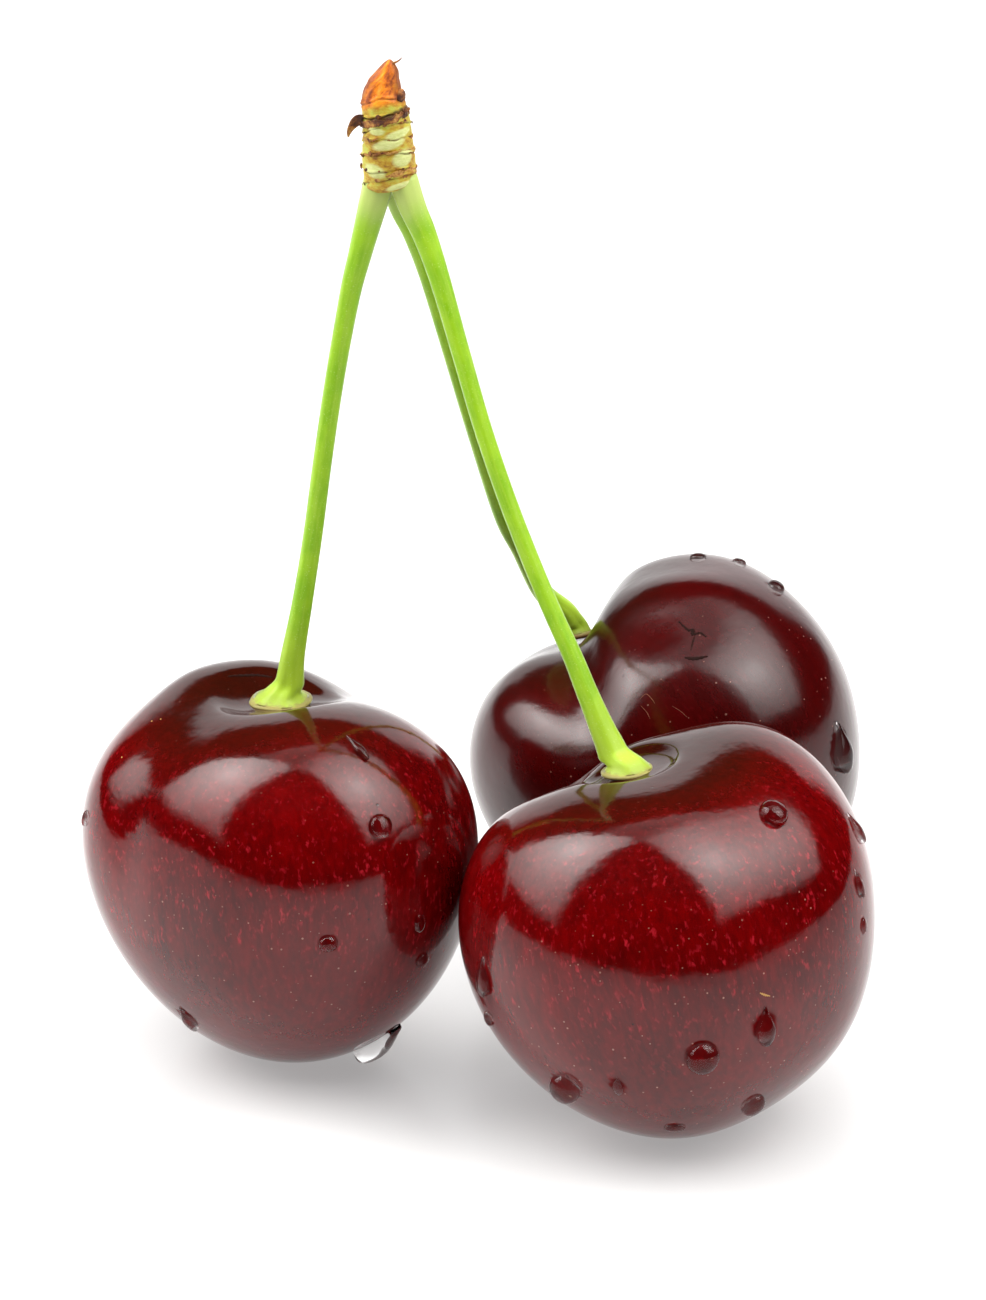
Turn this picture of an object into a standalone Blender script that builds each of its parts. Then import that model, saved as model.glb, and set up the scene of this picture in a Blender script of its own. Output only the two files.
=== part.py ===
"""Three sweet cherries on their stalks, joined at the woody spur that they grew from.

Metres, +Z up. The bunch stands on its three fruits and the spur is at the top. The origin lies on the
surface under the middle of the bunch. The dimensions below are in millimetres.
"""
import math

import bmesh
import bpy
from mathutils import Matrix, Vector

MM = 0.001
TOUCH_GAP = 0.3  # clear space between pieces that touch on the real bunch

# Fruit: half-sizes across the shoulders, through the thickness and along the stalk axis, then how much
# wider the body is towards the shoulders. The axis leans to -X and towards +Y, after the shoulders turn.
FRUITS = {
    "cherry_left": {
        "place": (-12.8, -4.3), "across": 14.0, "deep": 12.6, "tall": 13.0, "taper": 0.12,
        "lean_left": -1.0, "lean_back": 5.5, "turn": 122.0, "cavity": 1.1, "shoulder_rise": 1.1,
    },
    "cherry_front": {
        "place": (12.4, -14.9), "across": 13.5, "deep": 12.8, "tall": 13.4, "taper": 0.08,
        "lean_left": 16.0, "lean_back": 11.0, "turn": 8.0, "cavity": 1.6, "shoulder_rise": 1.3,
    },
    "cherry_back": {
        "place": (12.8, 14.6), "across": 13.5, "deep": 12.8, "tall": 13.0, "taper": 0.06,
        "lean_left": 37.0, "lean_back": 14.0, "turn": -10.0, "cavity": 2.4, "shoulder_rise": 0.7,
    },
}
SADDLE_DEPTH = 1.4    # dip between the two shoulders
SADDLE_WIDTH = 6.1
CAVITY_RADIUS = 5.0   # hollow round the stalk
SHOULDER_START = 0.35  # height, as a part of the half-height, where the top's shaping sets in
SHOULDER_RATE = 9.0
CONTACT_SINK = 0.06   # how far a fruit is flattened where it rests
FRUIT_RINGS = 22
FRUIT_SIDES = 40
POLE_CROWDING = 0.08  # rings stand closer together near the stalk and the tip

# Stalk: a thin shaft that thickens at the spur and spreads into a disc on the fruit.
SHAFT_RADIUS = 0.66
SPUR_END_THICKENING = 0.06
FOOT_THICKENING = 0.18
FOOT_LENGTH = 4.0
DISC_SPREAD = 0.95
DISC_LENGTH = 0.75
STALK_SIDES = 12
STALK_RINGS = 26
STALK_ROUTES = {
    "stalk_left": {
        "fruit": "cherry_left", "spur_seat": (-0.95, 0.0),
        "via": [(-12.4, -3.1, 27.3), (-11.7, -2.7, 31.5), (-10.3, -2.1, 40.9), (-8.4, -1.3, 51.0)],
    },
    "stalk_front": {
        "fruit": "cherry_front", "spur_seat": (0.85, -0.5),
        "via": [(8.2, -12.0, 25.6), (6.0, -10.3, 30.4), (2.3, -7.4, 38.9), (-2.2, -3.0, 52.0)],
    },
    "stalk_back": {
        "fruit": "cherry_back", "spur_seat": (0.45, 1.25),
        "via": [(5.3, 15.5, 22.6), (3.0, 13.3, 27.6), (0.1, 9.0, 38.0), (-3.1, 3.2, 51.3)],
    },
}

# Spur: height above its foot, radius there, and how far its middle has drifted along X.
SPUR_FOOT = (-5.6, -0.8, 58.7)
SPUR_PROFILE = [
    (0.0, 1.62, 0.10), (1.9, 1.68, 0.0), (3.0, 1.56, -0.05), (4.2, 1.52, -0.12), (5.0, 1.46, -0.2),
    (5.7, 1.34, -0.35), (6.5, 1.18, -0.34), (7.3, 0.96, -0.26), (8.0, 0.66, 0.0), (8.4, 0.36, 0.12),
    (8.6, 0.14, 0.15),
]
SPUR_SIDES = 24
SPUR_RINGS = 34
SPUR_FLATNESS = 0.94  # thickness front to back, as a part of its width

# Grooves round the spur where the bud scales sit: height, tilt across X, depth and half-width.
SCALE_SEATS = {
    "bud_scale_low": {"height": 1.0, "tilt": 0.30, "groove": 0.46, "half_width": 0.42},
    "bud_scale_mid": {"height": 2.9, "tilt": 0.42, "groove": 0.46, "half_width": 0.40},
    "bud_scale_curled": {"height": 4.6, "tilt": 0.20, "groove": 0.46, "half_width": 0.50},
}
SCALE_THICKNESS = 0.28
SCALE_SPANS = {  # degrees round the spur, counter-clockwise from +X, and the strip's height
    "bud_scale_low": {"from": 250.0, "to": 395.0, "height": 0.50},
    "bud_scale_mid": {"from": 215.0, "to": 385.0, "height": 0.48},
    "bud_scale_curled": {"from": 150.0, "to": 380.0, "height": 0.62},
}
CURL_LENGTH = 1.5     # free end of the curled scale, past the spur's left side
CURL_DROP = 1.1
SIDE_BUD = {"height": 6.2, "angle": -25.0, "radius": 0.36, "tall": 0.55}

MATERIALS = {
    "cherry_skin": {"color": (0.110, 0.004, 0.008, 1.0), "roughness": 0.16},
    "stalk_green": {"color": (0.300, 0.500, 0.020, 1.0), "roughness": 0.42},
    "spur_bark": {"color": (0.520, 0.380, 0.090, 1.0), "roughness": 0.60},
    "dry_scale": {"color": (0.170, 0.055, 0.018, 1.0), "roughness": 0.75},
}


def clear_scene():
    for old in list(bpy.data.objects):
        bpy.data.objects.remove(old, do_unlink=True)


def make_material(name):
    look = MATERIALS[name]
    material = bpy.data.materials.new(name)
    material.use_nodes = True
    shader = material.node_tree.nodes["Principled BSDF"]
    shader.inputs["Base Color"].default_value = look["color"]
    shader.inputs["Roughness"].default_value = look["roughness"]
    shader.inputs["Metallic"].default_value = 0.0
    material.diffuse_color = look["color"]
    return material


def add_object(name, mesh_builder, material, parent):
    """Make a smooth-shaded object from a bmesh in millimetres, with its faces turned outwards."""
    bmesh.ops.recalc_face_normals(mesh_builder, faces=mesh_builder.faces)
    bmesh.ops.scale(mesh_builder, vec=(MM, MM, MM), verts=mesh_builder.verts)
    mesh = bpy.data.meshes.new(name)
    mesh_builder.to_mesh(mesh)
    mesh_builder.free()
    mesh.materials.append(material)
    mesh.shade_smooth()
    mesh.set_sharp_from_angle(angle=math.radians(50.0))
    piece = bpy.data.objects.new(name, mesh)
    bpy.context.scene.collection.objects.link(piece)
    piece.parent = parent
    return piece


def loft(rings, start_pole=None, end_pole=None):
    """Join closed rings of points into one body, ending in a pole or in a flat cap."""
    shell = bmesh.new()
    loops = [[shell.verts.new(point) for point in ring] for ring in rings]
    sides = len(loops[0])
    for lower, upper in zip(loops, loops[1:]):
        for i in range(sides):
            j = (i + 1) % sides
            shell.faces.new((lower[i], lower[j], upper[j], upper[i]))
    for loop, pole in ((loops[0], start_pole), (loops[-1], end_pole)):
        if pole is None:
            shell.faces.new(loop)
            continue
        tip = shell.verts.new(pole)
        for i in range(sides):
            shell.faces.new((loop[i], loop[(i + 1) % sides], tip))
    return shell


def ring_angles(sides):
    return [2.0 * math.pi * i / sides for i in range(sides)]


def interpolate(table, at):
    """Read the other columns of a table between its rows, which go up in their first column."""
    if at <= table[0][0]:
        return table[0][1:]
    for low, high in zip(table, table[1:]):
        if at <= high[0]:
            part = (at - low[0]) / (high[0] - low[0])
            return tuple(a + (b - a) * part for a, b in zip(low[1:], high[1:]))
    return table[-1][1:]


# Fruits

def fruit_point(fruit, polar, around):
    """A point of the skin in the fruit's own axes: Z to the stalk, X across the two shoulders."""
    upward = math.cos(polar)
    outward = math.sin(polar)
    widening = 1.0 + fruit["taper"] * upward
    x = fruit["across"] * outward * math.cos(around) * widening
    y = fruit["deep"] * outward * math.sin(around) * widening
    top = 1.0 / (1.0 + math.exp(-(upward - SHOULDER_START) * SHOULDER_RATE))
    cavity = fruit["cavity"] * math.exp(-(x * x + y * y) / CAVITY_RADIUS ** 2)
    saddle = SADDLE_DEPTH * math.exp(-(x / SADDLE_WIDTH) ** 2)
    rise = fruit["shoulder_rise"] * x / fruit["across"]
    return Vector((x, y, fruit["tall"] * upward + top * (rise - cavity - saddle)))


def fruit_turn(fruit):
    return (
        Matrix.Rotation(math.radians(-fruit["lean_left"]), 3, "Y")
        @ Matrix.Rotation(math.radians(-fruit["lean_back"]), 3, "X")
        @ Matrix.Rotation(math.radians(fruit["turn"]), 3, "Z")
    )


def fruit_rings(fruit):
    """The skin as rings from the stalk pole to the tip, turned and lowered on to the surface."""
    turn = fruit_turn(fruit)
    rings = []
    for i in range(1, FRUIT_RINGS):
        part = i / FRUIT_RINGS
        polar = math.pi * (part - POLE_CROWDING * math.sin(2.0 * math.pi * part))
        rings.append([turn @ fruit_point(fruit, polar, around) for around in ring_angles(FRUIT_SIDES)])
    stalk_pole = turn @ fruit_point(fruit, 0.0, 0.0)
    tip_pole = turn @ fruit_point(fruit, math.pi, 0.0)
    lowest = min(point.z for ring in rings for point in ring)
    lowest = min(lowest, tip_pole.z)
    shift = Vector((fruit["place"][0], fruit["place"][1], -lowest - CONTACT_SINK))
    rings = [[point + shift for point in ring] for ring in rings]
    return rings, stalk_pole + shift, tip_pole + shift


def build_fruit(name, material, parent):
    rings, stalk_pole, tip_pole = fruit_rings(FRUITS[name])
    shell = loft(rings, stalk_pole, tip_pole)
    everything = shell.verts[:] + shell.edges[:] + shell.faces[:]
    cut = bmesh.ops.bisect_plane(
        shell, geom=everything, plane_co=(0.0, 0.0, 0.0), plane_no=(0.0, 0.0, 1.0), clear_inner=True
    )
    rim = [edge for edge in cut["geom_cut"] if isinstance(edge, bmesh.types.BMEdge)]
    bmesh.ops.contextual_create(shell, geom=rim)
    return add_object(name, shell, material, parent)


# Stalks

def smooth_route(points, per_span):
    """A Catmull-Rom curve through the points, with its ends carried straight on."""
    ends = [points[0] * 2.0 - points[1]] + points + [points[-1] * 2.0 - points[-2]]
    route = []
    for a, b, c, d in zip(ends, ends[1:], ends[2:], ends[3:]):
        for i in range(per_span):
            t = i / per_span
            route.append(
                0.5 * (2.0 * b + (c - a) * t + (2.0 * a - 5.0 * b + 4.0 * c - d) * t ** 2
                       + (3.0 * b - a - 3.0 * c + d) * t ** 3)
            )
    route.append(points[-1])
    return route


def at_length(route, distance):
    """The point and the direction of a route at a distance from its start."""
    walked = 0.0
    for a, b in zip(route, route[1:]):
        step = (b - a).length
        if walked + step >= distance:
            return a.lerp(b, (distance - walked) / step), (b - a).normalized()
        walked += step
    return route[-1], (route[-1] - route[-2]).normalized()


def stalk_radius(distance, length):
    disc = DISC_SPREAD * math.exp(-distance / DISC_LENGTH)
    foot = FOOT_THICKENING * math.exp(-distance / FOOT_LENGTH)
    spur_end = SPUR_END_THICKENING * math.exp(-(length - distance) / FOOT_LENGTH)
    return SHAFT_RADIUS + disc + foot + spur_end


def stalk_route(plan):
    """From the cavity's floor, clear of it, through the hand-set points to the underside of the spur."""
    fruit = FRUITS[plan["fruit"]]
    axis = (fruit_turn(fruit) @ Vector((0.0, 0.0, 1.0))).normalized()
    floor = fruit_rings(fruit)[1]
    disc_rise = SHAFT_RADIUS + DISC_SPREAD + FOOT_THICKENING
    cavity_rise = fruit["cavity"] * (1.0 - math.exp(-(disc_rise / CAVITY_RADIUS) ** 2))
    saddle_rise = SADDLE_DEPTH * (1.0 - math.exp(-(disc_rise / SADDLE_WIDTH) ** 2))
    start = floor + axis * (TOUCH_GAP + cavity_rise + saddle_rise)
    seat = plan["spur_seat"]
    end = Vector(SPUR_FOOT) + Vector((seat[0], seat[1], -TOUCH_GAP))
    above_disc = start + axis * 1.2
    return smooth_route([start, above_disc] + [Vector(p) for p in plan["via"]] + [end], 12), axis


def build_stalk(name, material, parent):
    route, axis = stalk_route(STALK_ROUTES[name])
    length = sum((b - a).length for a, b in zip(route, route[1:]))
    rings = []
    for i in range(STALK_RINGS + 1):
        part = i / STALK_RINGS
        distance = length * part ** 1.7  # crowded at the disc, where the radius changes fastest
        centre, along = at_length(route, distance)
        if i == 0:
            along = axis
        if i == STALK_RINGS:
            along = Vector((0.0, 0.0, 1.0))
        side = along.cross(Vector((0.0, 1.0, 0.0))).normalized()
        front = along.cross(side)
        radius = stalk_radius(distance, length)
        rings.append([
            centre + (side * math.cos(a) + front * math.sin(a)) * radius for a in ring_angles(STALK_SIDES)
        ])
    return add_object(name, loft(rings), material, parent)


# Spur and its dry scales

def seat_height(seat, around):
    return seat["height"] + seat["tilt"] * math.cos(around)


def spur_radius(height, around):
    """Radius of the bark at a height and an angle, with a groove under each scale."""
    radius = interpolate(SPUR_PROFILE, height)[0]
    for seat in SCALE_SEATS.values():
        away = (height - seat_height(seat, around)) / seat["half_width"]
        radius -= seat["groove"] * math.exp(-away ** 4)
    return radius


def spur_point(height, around, radius):
    drift = interpolate(SPUR_PROFILE, height)[1]
    foot = Vector(SPUR_FOOT)
    return foot + Vector((
        drift + radius * math.cos(around), SPUR_FLATNESS * radius * math.sin(around), height
    ))


def build_spur(material, parent):
    top = SPUR_PROFILE[-1][0]
    rings = []
    for i in range(SPUR_RINGS + 1):
        height = top * i / SPUR_RINGS
        rings.append([
            spur_point(height, around, spur_radius(height, around)) for around in ring_angles(SPUR_SIDES)
        ])
    return add_object("spur", loft(rings), material, parent)


def scale_sections(name):
    """Cross-sections of a papery strip, as its inner and outer corners, from its first end to its last."""
    seat, span = SCALE_SEATS[name], SCALE_SPANS[name]
    half = span["height"] / 2.0
    steps = 18
    sections = []
    for i in range(steps + 1):
        part = i / steps
        around = math.radians(span["from"] + (span["to"] - span["from"]) * part)
        middle = seat_height(seat, around)
        taper = min(1.0, 0.35 + 4.0 * min(part, 1.0 - part))
        inner = spur_radius(middle, around) + TOUCH_GAP
        corners = (
            (inner, -half * taper), (inner + SCALE_THICKNESS, -half * taper),
            (inner + SCALE_THICKNESS, half * taper), (inner, half * taper),
        )
        sections.append([spur_point(middle + up, around, radius) for radius, up in corners])
    return sections


def add_curl(sections):
    """Carry the first end of a strip on past the spur, bending outwards and down."""
    first = sections[0]
    curl = []
    steps = 5
    for i in range(steps, 0, -1):
        part = i / steps
        shrink = 1.0 - 0.7 * part
        middle = sum(first, Vector()) / len(first)
        move = Vector((-CURL_LENGTH * math.sin(part * 1.4), 0.25 * part, -CURL_DROP * part ** 2))
        curl.append([middle + (corner - middle) * shrink + move for corner in first])
    return curl + sections


def build_scale(name, material, parent):
    sections = scale_sections(name)
    if name == "bud_scale_curled":
        sections = add_curl(sections)
    return add_object(name, loft(sections), material, parent)


def build_side_bud(material, parent):
    """A small dormant bud against the right-hand side of the spur's tip."""
    around = math.radians(SIDE_BUD["angle"])
    radius, tall = SIDE_BUD["radius"], SIDE_BUD["tall"]
    centre = spur_point(
        SIDE_BUD["height"], around, spur_radius(SIDE_BUD["height"], around) + TOUCH_GAP + radius
    )
    sides, levels = 12, 7
    rings = []
    for i in range(1, levels):
        polar = math.pi * i / levels
        rings.append([
            centre + Vector((
                radius * math.sin(polar) * math.cos(a), radius * math.sin(polar) * math.sin(a),
                tall * math.cos(polar),
            ))
            for a in ring_angles(sides)
        ])
    pole = Vector((0.0, 0.0, tall))
    return add_object("side_bud", loft(rings, centre + pole, centre - pole), material, parent)


def main():
    clear_scene()
    bunch = bpy.data.objects.new("bunch", None)
    bpy.context.scene.collection.objects.link(bunch)
    skin = make_material("cherry_skin")
    green = make_material("stalk_green")
    bark = make_material("spur_bark")
    scale = make_material("dry_scale")
    for name in FRUITS:
        build_fruit(name, skin, bunch)
    for name in STALK_ROUTES:
        build_stalk(name, green, bunch)
    build_spur(bark, bunch)
    for name in SCALE_SEATS:
        build_scale(name, scale, bunch)
    build_side_bud(scale, bunch)


main()
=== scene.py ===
import math

import bpy
import numpy as np
from mathutils import Matrix, Vector


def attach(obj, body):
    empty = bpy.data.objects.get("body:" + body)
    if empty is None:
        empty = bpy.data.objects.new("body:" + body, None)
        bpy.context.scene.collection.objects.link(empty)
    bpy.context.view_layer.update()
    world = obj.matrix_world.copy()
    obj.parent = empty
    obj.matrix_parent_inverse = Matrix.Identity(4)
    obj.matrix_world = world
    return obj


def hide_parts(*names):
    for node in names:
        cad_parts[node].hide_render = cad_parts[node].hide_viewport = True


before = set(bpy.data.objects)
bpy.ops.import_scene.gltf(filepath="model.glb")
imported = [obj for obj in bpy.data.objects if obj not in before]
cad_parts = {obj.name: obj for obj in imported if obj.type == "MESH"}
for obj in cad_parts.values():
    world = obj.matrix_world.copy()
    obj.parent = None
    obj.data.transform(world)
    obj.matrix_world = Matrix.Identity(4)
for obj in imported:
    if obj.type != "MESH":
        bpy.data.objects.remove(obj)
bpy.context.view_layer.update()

mm = 0.001
body = "root"
up = np.array([0.0, 0.0, 1.0])


# ---- shader helpers

class Wire:
    # a node's socket that can be used in sums
    def __init__(self, paint, socket):
        self.paint = paint
        self.socket = socket

    def math(self, operation, *others, clamp=False):
        values = dict(enumerate((self,) + others))
        settings = {"operation": operation, "use_clamp": clamp}
        return self.paint.node("ShaderNodeMath", settings, values)["Value"]

    def __add__(self, other):
        return self.math("ADD", other)

    __radd__ = __add__

    def __mul__(self, other):
        return self.math("MULTIPLY", other)

    __rmul__ = __mul__

    def __sub__(self, other):
        return self.math("SUBTRACT", other)

    def __rsub__(self, other):
        return (self * -1.0) + other

    def __truediv__(self, other):
        return self.math("DIVIDE", other)

    def clamped(self):
        return self.math("ADD", 0.0, clamp=True)

    def most(self, other):
        return self.math("MAXIMUM", other)

    def step(self, low, high):
        # 0 below low, 1 above high, smooth between; low may be the larger
        ranged = self.paint.node(
            "ShaderNodeMapRange", {"interpolation_type": "SMOOTHSTEP"},
            {"Value": self, "From Min": low, "From Max": high, "To Min": 0.0, "To Max": 1.0},
        )
        return ranged["Result"]

    def bell(self, middle, width):
        away = (self - middle) / width
        return (away * away * -1.0).math("EXPONENT")


class Made:
    # a node that was added, read by its outputs' names
    def __init__(self, paint, node):
        self.paint = paint
        self.raw = node

    def __getitem__(self, name):
        return Wire(self.paint, self.raw.outputs[name])

    def output(self, index):
        return Wire(self.paint, self.raw.outputs[index])


class Tree:
    def __init__(self, tree):
        self.tree = tree
        tree.nodes.clear()

    def node(self, kind, settings=None, values=None):
        made = self.tree.nodes.new(kind)
        for key, value in (settings or {}).items():
            if key == "stops":
                self.setStops(made.color_ramp, value)
            else:
                setattr(made, key, value)
        for key, value in (values or {}).items():
            socket = made.inputs[key]
            if isinstance(value, Wire):
                self.tree.links.new(value.socket, socket)
            else:
                socket.default_value = value
        return Made(self, made)

    def setStops(self, ramp, stops):
        while len(ramp.elements) < len(stops):
            ramp.elements.new(0.5)
        for element, (place, color) in zip(ramp.elements, stops):
            element.position = place
            element.color = (*color, 1.0)


class Paint(Tree):
    # a material being built
    def __init__(self, name):
        self.material = bpy.data.materials.new(name)
        self.material.use_nodes = True
        super().__init__(self.material.node_tree)

    def attribute(self, name):
        return self.node("ShaderNodeAttribute", {"attribute_name": name})

    def parts(self, vector):
        split = self.node("ShaderNodeSeparateXYZ", None, {"Vector": vector})
        return split["X"], split["Y"], split["Z"]

    def vector(self, x, y, z):
        return self.node("ShaderNodeCombineXYZ", None, {"X": x, "Y": y, "Z": z})["Vector"]

    def noise(self, vector, scale, detail=2.0, roughness=0.5, distortion=0.0):
        values = {"Vector": vector, "Scale": scale, "Detail": detail, "Roughness": roughness,
                  "Distortion": distortion}
        return self.node("ShaderNodeTexNoise", None, values)

    def cells(self, vector, scale):
        return self.node("ShaderNodeTexVoronoi", None, {"Vector": vector, "Scale": scale})

    def blend(self, factor, first, second):
        # colours, mixed by a factor from 0 to 1
        made = self.tree.nodes.new("ShaderNodeMix")
        made.data_type = "RGBA"
        made.clamp_factor = True
        for index, value in ((0, factor), (6, first), (7, second)):
            socket = made.inputs[index]
            if isinstance(value, Wire):
                self.tree.links.new(value.socket, socket)
            elif index == 0:
                socket.default_value = value
            else:
                socket.default_value = (*value, 1.0)
        return Wire(self, made.outputs[2])

    def ramp(self, factor, stops):
        return self.node("ShaderNodeValToRGB", {"stops": stops}, {"Fac": factor})["Color"]

    def bump(self, height, strength, distance):
        values = {"Height": height, "Strength": strength, "Distance": distance}
        return self.node("ShaderNodeBump", None, values)["Normal"]

    def glossy(self, values):
        return self.node("ShaderNodeBsdfPrincipled", None, values)["BSDF"]

    def clear(self):
        return self.node("ShaderNodeBsdfTransparent")["BSDF"]

    def mixed(self, factor, first, second):
        return self.node("ShaderNodeMixShader", None, {0: factor, 1: first, 2: second})["Shader"]

    def close(self, surface):
        self.node("ShaderNodeOutputMaterial", None, {"Surface": surface})
        return self.material

    def principled(self, values):
        return self.close(self.glossy(values))


class Flow(Tree):
    # a geometry tree with named inputs, run once and turned into a plain mesh
    def __init__(self, name, inputs):
        self.group = bpy.data.node_groups.new(name, "GeometryNodeTree")
        super().__init__(self.group)
        face = self.group.interface
        face.new_socket("Geometry", in_out="INPUT", socket_type="NodeSocketGeometry")
        self.sockets = {}
        for key, kind in inputs.items():
            self.sockets[key] = face.new_socket(key, in_out="INPUT", socket_type=kind).identifier
        face.new_socket("Geometry", in_out="OUTPUT", socket_type="NodeSocketGeometry")
        self.given = self.node("NodeGroupInput")

    def named(self, name, kind="FLOAT"):
        settings = {"data_type": kind}
        return self.node("GeometryNodeInputNamedAttribute", settings, {"Name": name})["Attribute"]

    def turned(self, angles):
        return self.node("FunctionNodeEulerToRotation", None, {"Euler": angles})["Rotation"]

    def shapeOf(self, thing):
        return self.node("GeometryNodeObjectInfo", None, {"Object": thing})["Geometry"]

    def close(self, shapes, material):
        solid = self.node("GeometryNodeRealizeInstances", None, {"Geometry": shapes})["Geometry"]
        painted = self.node("GeometryNodeSetMaterial", None, {"Geometry": solid, "Material": material})
        self.node("NodeGroupOutput", None, {"Geometry": painted["Geometry"]})

    def run(self, name, source, values):
        # on a copy of the source, which stays as it was
        piece = addObject(name, source.data.copy())
        change = piece.modifiers.new(name, "NODES")
        change.node_group = self.group
        for key, value in values.items():
            change[self.sockets[key]] = value
        ready = piece.evaluated_get(bpy.context.evaluated_depsgraph_get())
        mesh = bpy.data.meshes.new_from_object(ready)
        piece.modifiers.clear()
        piece.data = mesh
        mesh.shade_smooth()
        return piece


# ---- mesh helpers

def addObject(name, data):
    made = bpy.data.objects.new(name, data)
    bpy.context.scene.collection.objects.link(made)
    return made


def newMesh(name, points, faces, attributes):
    # points in metres; an attribute is a list of numbers, or of threes of them, one for each point
    mesh = bpy.data.meshes.new(name)
    mesh.from_pydata(points, [], faces)
    for key, values in attributes.items():
        values = np.asarray(values, float).reshape(len(points), -1)
        kind, field = ("FLOAT_VECTOR", "vector") if values.shape[1] == 3 else ("FLOAT", "value")
        mesh.attributes.new(key, kind, "POINT").data.foreach_set(field, values.ravel())
    return mesh


def unit(vector):
    vector = np.asarray(vector, float)
    return vector / np.linalg.norm(vector)


def ease(value, low, high):
    part = np.clip((np.asarray(value, float) - low) / (high - low), 0.0, 1.0)
    return part * part * (3.0 - 2.0 * part)


def circle(sides):
    return np.linspace(0.0, 2.0 * math.pi, sides, endpoint=False)


def oval(middle, side, front, angle, wide, deep):
    return middle + np.outer(np.cos(angle) * wide, side) + np.outer(np.sin(angle) * deep, front)


def nearby(route, index):
    # the places before and after one on a route
    return route[max(index - 1, 0)], route[min(index + 1, len(route) - 1)]


def gridObject(name, rings, attributes, poles=None):
    # rings is (count, sides, 3) in millimetres, closed round and capped at its poles, which are the end
    # rings' middles unless given; attributes hold (count, sides[, 3]) values
    count, sides = rings.shape[:2]
    total = count * sides
    i = np.arange(count - 1)[:, None] * sides
    j = np.arange(sides)[None, :]
    k = (j + 1) % sides
    quads = np.stack([i + j, i + k, i + sides + k, i + sides + j], -1).reshape(-1, 4).tolist()
    poles = np.array([rings[0].mean(0), rings[-1].mean(0)] if poles is None else poles)
    extra = {key: [values.reshape(total, -1)] for key, values in attributes.items()}
    for tip, row, flip in ((total, 0, True), (total + 1, count - 1, False)):
        for key, values in attributes.items():
            extra[key].append(values[row].reshape(sides, -1).mean(0, keepdims=True))
        for a in range(sides):
            b = (a + 1) % sides
            edge = [row * sides + a, row * sides + b]
            quads.append([edge[1], edge[0], tip] if flip else [edge[0], edge[1], tip])
    points = np.concatenate([rings.reshape(-1, 3), poles]) * mm
    extra = {key: np.concatenate(rows) for key, rows in extra.items()}
    mesh = newMesh(name, points.tolist(), quads, extra)
    mesh.validate()
    mesh.shade_smooth()
    if signedVolume(mesh) < 0.0:
        mesh.flip_normals()
    return addObject(name, mesh)


def tonedPiece(name, rings, tone):
    rings = np.array(rings)
    return gridObject(name, rings, {"tone": np.full(rings.shape[:2], tone)})


def signedVolume(mesh):
    mesh.calc_loop_triangles()
    points = np.empty(len(mesh.vertices) * 3)
    mesh.vertices.foreach_get("co", points)
    points = points.reshape(-1, 3)
    corners = np.empty(len(mesh.loop_triangles) * 3, np.int32)
    mesh.loop_triangles.foreach_get("vertices", corners)
    a, b, c = points[corners.reshape(-1, 3)].transpose(1, 0, 2)
    return float(np.einsum("ij,ij->i", a, np.cross(b, c)).sum())


def finish(piece, slot, material, *nodes):
    piece.data.materials.clear()
    piece.data.materials.append(material)
    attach(piece, body)
    if nodes:
        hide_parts(*nodes)


# ---- fruits

fruitForm = {
    "shoulderStart": 0.35, "shoulderRate": 9.0, "sink": 0.06, "rings": 180, "sides": 260, "crowding": 0.08,
    "tipDepth": 0.35, "tipRadius": 0.9, "girth": 13.0,
}
swellForm = {"count": 44, "wide": 27, "ringTilt": 20, "ringStep": 60, "narrow": 12}


def swellPlaces():
    # angles from the stalk and round it, and widths: spread evenly by the golden angle, then by the stalk
    form = swellForm
    goldenAngle = 180.0 * (3.0 - math.sqrt(5.0))
    for i in range(form["count"]):
        toTip = math.degrees(math.acos(1.0 - (2 * i + 1) / form["count"]))
        yield round(toTip), round(goldenAngle * (i + 0.5) % 360.0), form["wide"]
    yield 0, 0, form["narrow"]
    for around in range(form["ringStep"] // 2, 360, form["ringStep"]):
        yield form["ringTilt"], around, form["narrow"]


swellSpots = tuple(swellPlaces())
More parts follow.
